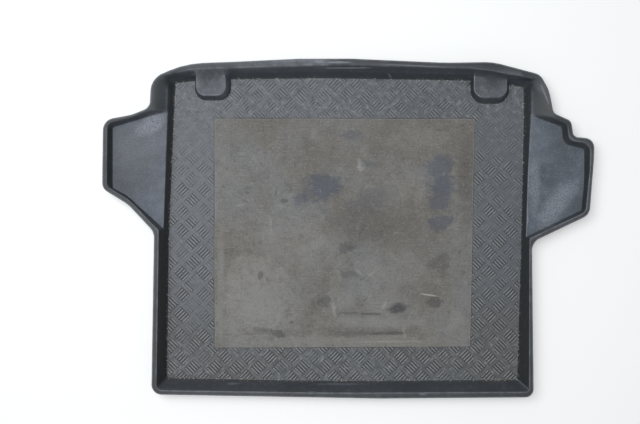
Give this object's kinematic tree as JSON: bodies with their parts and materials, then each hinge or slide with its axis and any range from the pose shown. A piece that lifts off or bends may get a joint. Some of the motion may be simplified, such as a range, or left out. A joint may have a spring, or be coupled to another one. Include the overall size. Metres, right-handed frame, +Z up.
{
  "type": "car boot liner",
  "caption": "Shallow moulded boot tray with raised side shelves, two bosses, a flat rim, a five-bar tread floor and a bonded anti-slip mat.",
  "frame": {"origin": "middle of the liner's overall length and width, on the surface that its floor rests on", "axes": "+X to the right side shelf, +Y to the tailgate edge, +Z up out of the floor"},
  "size_m": [1.2732, 0.8809, 0.052],
  "materials": {
    "tray_plastic": "grained polyethylene, satin on the walls and rim, dusty on the tread",
    "mat_rubber": "matt brown-grey anti-slip coating with dark stains and fine scratches"
  },
  "bodies": {
    "root": {"liner_tray": "tray_plastic", "anti_slip_mat": "mat_rubber"}
  },
  "joints": []
}
